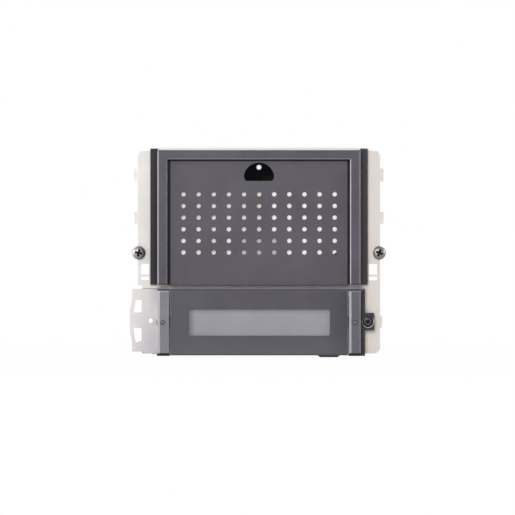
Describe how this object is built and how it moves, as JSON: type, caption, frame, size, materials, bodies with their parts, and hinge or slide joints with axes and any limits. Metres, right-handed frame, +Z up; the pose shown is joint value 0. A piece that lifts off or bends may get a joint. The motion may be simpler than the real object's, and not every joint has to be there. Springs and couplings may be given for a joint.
{
  "type": "door intercom module",
  "caption": "Door station audio module: moulded plate and housing with a perforated speaker grille above a hinged name plate door flanked by long call button bars.",
  "frame": {"origin": "midpoint between the fixing screws, on the back face of the chassis plate", "axes": "+X to the right seen from the front, +Y from the front to the rear, +Z up"},
  "size_m": [0.1104, 0.031, 0.0903],
  "materials": {
    "white_moulding": "fine spark-eroded satin",
    "graphite_moulding": "satin with a slight metallic sheen",
    "window_black": "polished",
    "light_pipe": "opal",
    "white_fleece": "matt fibre fleece",
    "grey_rubber": "matt",
    "black_foam": "matt foam",
    "capsule_metal": "satin",
    "basket_steel": "zinc plated",
    "cone_paper": "matt",
    "magnet_ferrite": "dull",
    "board_laminate": "lacquered",
    "chip_resin": "matt",
    "capacitor_sleeve": "shrunk sleeve",
    "coil_winding": "lacquered wire",
    "led_white": "moulded resin",
    "switch_case": "moulded",
    "plunger_grey": "moulded",
    "opal_sheet": "opal",
    "connector_grey": "moulded",
    "screw_steel": "zinc plated",
    "contact_metal": "gold flashed",
    "rotor_white": "moulded",
    "leaf_pale": "satin",
    "lens_smoke": "frosted",
    "card_paper": "plain card",
    "button_light_smoke": "tinted",
    "lock_bright": "nickel plated",
    "lock_dark": "blackened"
  },
  "bodies": {
    "module_body": {"chassis": "white_moulding", "upper_frame": "graphite_moulding", "grille_panel": "graphite_moulding", "status_window": "window_black", "status_light_pipe": "light_pipe", "speaker_fleece": "white_fleece", "vent_fleeces": "white_fleece", "microphone_boot": "grey_rubber", "microphone_capsule": "capsule_metal", "speaker_basket": "basket_steel", "speaker_gasket": "black_foam", "speaker_cone": "cone_paper", "speaker_magnet": "magnet_ferrite", "main_board": "board_laminate", "board_chips": "chip_resin", "board_capacitors": "capacitor_sleeve", "line_coil": "coil_winding", "status_led": "led_white", "button_board": "board_laminate", "call_switches": "switch_case", "card_backlights": "led_white", "glow_plate": "opal_sheet", "board_link": "switch_case", "terminal_block": "connector_grey", "terminal_screws": "screw_steel", "link_sockets": "connector_grey", "link_contacts": "contact_metal", "trimmer_bodies": "chip_resin", "rear_cover": "white_moulding", "cover_screws": "screw_steel", "mounting_screws": "screw_steel", "hinge_leaf": "leaf_pale", "lock_strike": "screw_steel"},
    "name_plate_door": {"door_frame": "graphite_moulding", "card_window": "lens_smoke", "name_card": "card_paper", "card_diffuser": "opal_sheet", "card_retainer": "graphite_moulding", "lock_ferrule": "lock_bright", "hinge_pin": "screw_steel"},
    "left_call_bar": {"left_call_button": "graphite_moulding", "left_button_light": "button_light_smoke"},
    "right_call_bar": {"right_call_button": "graphite_moulding", "right_button_light": "button_light_smoke"},
    "left_plunger": {"left_switch_plunger": "plunger_grey"},
    "right_plunger": {"right_switch_plunger": "plunger_grey"},
    "volume_trimmer": {"volume_rotor": "rotor_white"},
    "microphone_trimmer": {"microphone_rotor": "rotor_white"},
    "door_lock": {"lock_spindle": "lock_dark"}
  },
  "joints": [
    {"name": "door_hinge", "type": "hinge", "parent": "module_body", "child": "name_plate_door", "pos_m": [-0.0429, -0.0044, -0.0299], "axis": [0, 0, -1], "range_deg": [0, 100]},
    {"name": "left_bar_press", "type": "slide", "parent": "name_plate_door", "child": "left_call_bar", "axis": [0, 1, 0], "range_m": [0, 0.0005], "stiffness_N_per_m": 800, "springref_m": -0.0005},
    {"name": "right_bar_press", "type": "slide", "parent": "name_plate_door", "child": "right_call_bar", "axis": [0, 1, 0], "range_m": [0, 0.0005], "stiffness_N_per_m": 800, "springref_m": -0.0005},
    {"name": "left_plunger_press", "type": "slide", "parent": "module_body", "child": "left_plunger", "axis": [0, 1, 0], "range_m": [0, 0.0005]},
    {"name": "right_plunger_press", "type": "slide", "parent": "module_body", "child": "right_plunger", "axis": [0, 1, 0], "range_m": [0, 0.0005]},
    {"name": "volume_turn", "type": "hinge", "parent": "module_body", "child": "volume_trimmer", "pos_m": [-0.03, 0.018, -0.014], "axis": [0, 1, 0], "range_deg": [-135, 135]},
    {"name": "microphone_turn", "type": "hinge", "parent": "module_body", "child": "microphone_trimmer", "pos_m": [-0.017, 0.018, -0.014], "axis": [0, 1, 0], "range_deg": [-135, 135]},
    {"name": "lock_turn", "type": "hinge", "parent": "name_plate_door", "child": "door_lock", "pos_m": [0.0468, -0.002, -0.0296], "axis": [0, -1, 0], "range_deg": [0, 90]}
  ],
  "couplings": [
    {"joint": "left_plunger_press", "follows": "left_bar_press", "ratio": 1},
    {"joint": "right_plunger_press", "follows": "right_bar_press", "ratio": 1}
  ]
}
